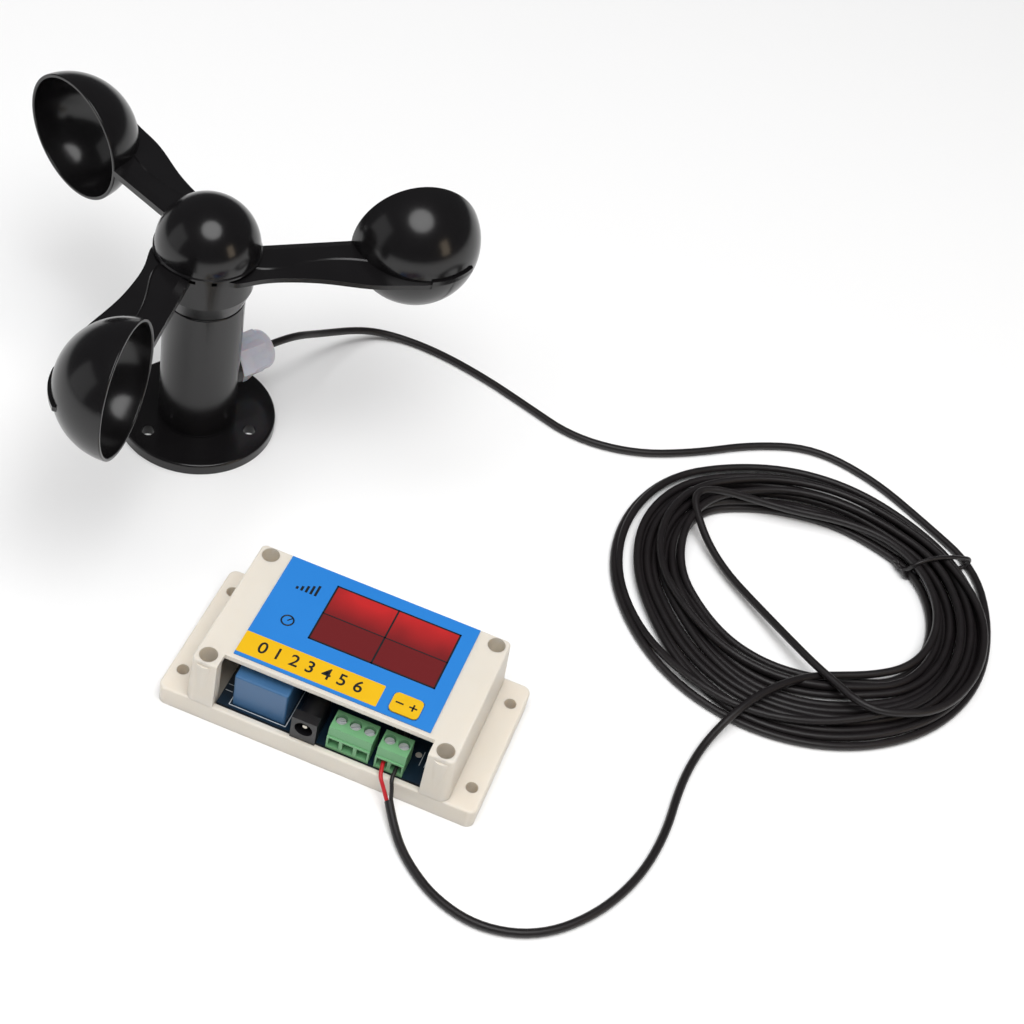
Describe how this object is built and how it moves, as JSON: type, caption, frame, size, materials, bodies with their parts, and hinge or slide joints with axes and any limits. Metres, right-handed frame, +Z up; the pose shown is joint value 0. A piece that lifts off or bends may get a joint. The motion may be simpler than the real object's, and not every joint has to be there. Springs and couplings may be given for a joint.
{
  "type": "cup anemometer",
  "caption": "Cup wind sensor on a bolt flange, with a coiled cable wired to a boxed display unit that has a relay, a power socket and screw terminals.",
  "frame": {"origin": "centre of the sensor flange's bottom face", "axes": "+Z up along the rotor's axis; the display unit's long side runs along X, and its open front faces -Y"},
  "size_m": [0.4079, 0.2674, 0.1087],
  "materials": {
    "abs_black": "moulded, polished",
    "abs_ivory": "moulded, satin",
    "nylon_white": "moulded, translucent",
    "pvc_black": "extruded",
    "pvc_red": "extruded",
    "core_black": "extruded",
    "tie_black": "extruded over wire",
    "label_blue": "printed polyester film",
    "window_red": "tinted acrylic",
    "key_yellow": "printed polyester film",
    "led_white": "moulded",
    "board_dark": "solder mask",
    "relay_blue": "moulded",
    "jack_black": "moulded",
    "terminal_green": "moulded",
    "zinc_steel": "zinc plated",
    "bearing_steel": "ground",
    "brass_nickel": "nickel plated",
    "rubber_black": "moulded",
    "chip_black": "moulded epoxy",
    "reed_glass": "drawn",
    "magnet_nickel": "nickel plated"
  },
  "bodies": {
    "stand": {"post_body": "abs_black", "bottom_plate": "abs_black", "bottom_gasket": "rubber_black", "bottom_screws": "zinc_steel", "upper_bearing_outer": "bearing_steel", "lower_bearing_outer": "bearing_steel", "upper_bearing_balls": "bearing_steel", "lower_bearing_balls": "bearing_steel", "pickup_board": "board_dark", "pickup_screws": "zinc_steel", "reed_switch": "reed_glass", "gland_body": "nylon_white", "gland_nut": "nylon_white", "gland_seal": "rubber_black", "gland_oring": "rubber_black", "gland_locknut": "nylon_white", "cable_tail": "pvc_black", "inner_cores": "pvc_red", "case_base": "abs_ivory", "case_cover": "abs_ivory", "case_screws": "zinc_steel", "label_panel": "label_blue", "display_window": "window_red", "led_modules": "led_white", "main_board": "board_dark", "relay": "relay_blue", "dc_jack": "jack_black", "dc_jack_pin": "brass_nickel", "terminal_3p": "terminal_green", "terminal_2p": "terminal_green", "terminal_clamps": "zinc_steel", "terminal_screws": "zinc_steel", "set_switch": "chip_black", "buzzer": "chip_black", "controller_chip": "chip_black", "voltage_regulator": "chip_black", "cable_sensor_lead": "pvc_black", "cable_display_lead": "pvc_black", "cable_coil": "pvc_black", "twist_tie": "tie_black", "red_wire": "pvc_red", "black_wire": "core_black"},
    "rotor": {"rotor_hub": "abs_black", "rotor_cap": "abs_black", "cup_arm_1": "abs_black", "cup_arm_2": "abs_black", "cup_arm_3": "abs_black", "rotor_screws": "zinc_steel", "rotor_shaft": "bearing_steel", "shaft_clip": "zinc_steel", "bearing_spacer": "brass_nickel", "shaft_washer": "zinc_steel", "shaft_nut": "zinc_steel", "magnet_carrier": "led_white", "magnets": "magnet_nickel", "upper_bearing_inner": "bearing_steel", "lower_bearing_inner": "bearing_steel"},
    "key": {"set_key": "key_yellow"}
  },
  "joints": [
    {"name": "rotor_spin", "type": "hinge", "parent": "stand", "child": "rotor", "pos_m": [0, 0, 0.08], "axis": [0, 0, 1], "continuous": true},
    {"name": "key_press", "type": "slide", "parent": "stand", "child": "key", "axis": [0, 0, -1], "range_m": [0, 0.00025], "stiffness_N_per_m": 1500, "springref_m": -0.0003}
  ]
}
